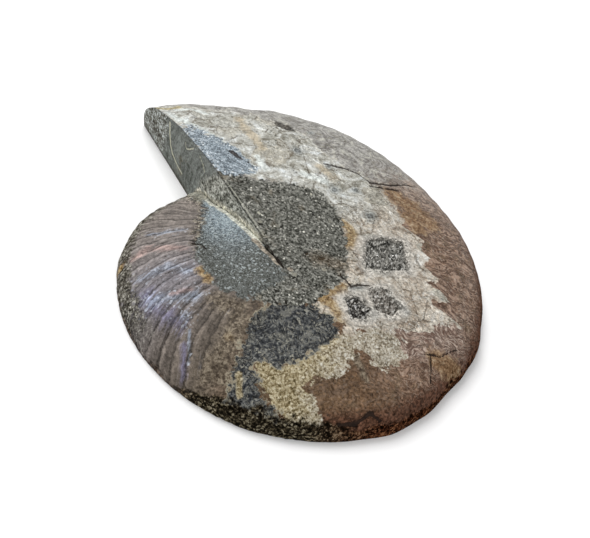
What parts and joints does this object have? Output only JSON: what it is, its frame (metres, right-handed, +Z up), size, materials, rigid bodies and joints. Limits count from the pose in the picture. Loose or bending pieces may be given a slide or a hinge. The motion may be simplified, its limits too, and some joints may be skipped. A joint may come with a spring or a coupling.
{
  "type": "ammonite fossil",
  "caption": "Sawn and polished half of a coiled ammonite fossil, ribbed flank up, with stone-filled centre and small crystal-lined pockets, lying on its flat sawn face.",
  "frame": {"origin": "centre of the bottom of the bounding box, on the sawn face", "axes": "+Z up out of the polished flank, square to the sawn face; +Y is the longest side of the box"},
  "size_m": [0.1334, 0.139, 0.0227],
  "materials": {
    "fossil": "polished fossil shell and stone, mottled brown, cream and grey",
    "crystals": "small grey crystals, glossy"
  },
  "bodies": {
    "root": {"ammonite": "fossil", "crystal_crust_large": "crystals", "crystal_crust_dark": "crystals", "crystal_crust_grey": "crystals"}
  },
  "joints": []
}
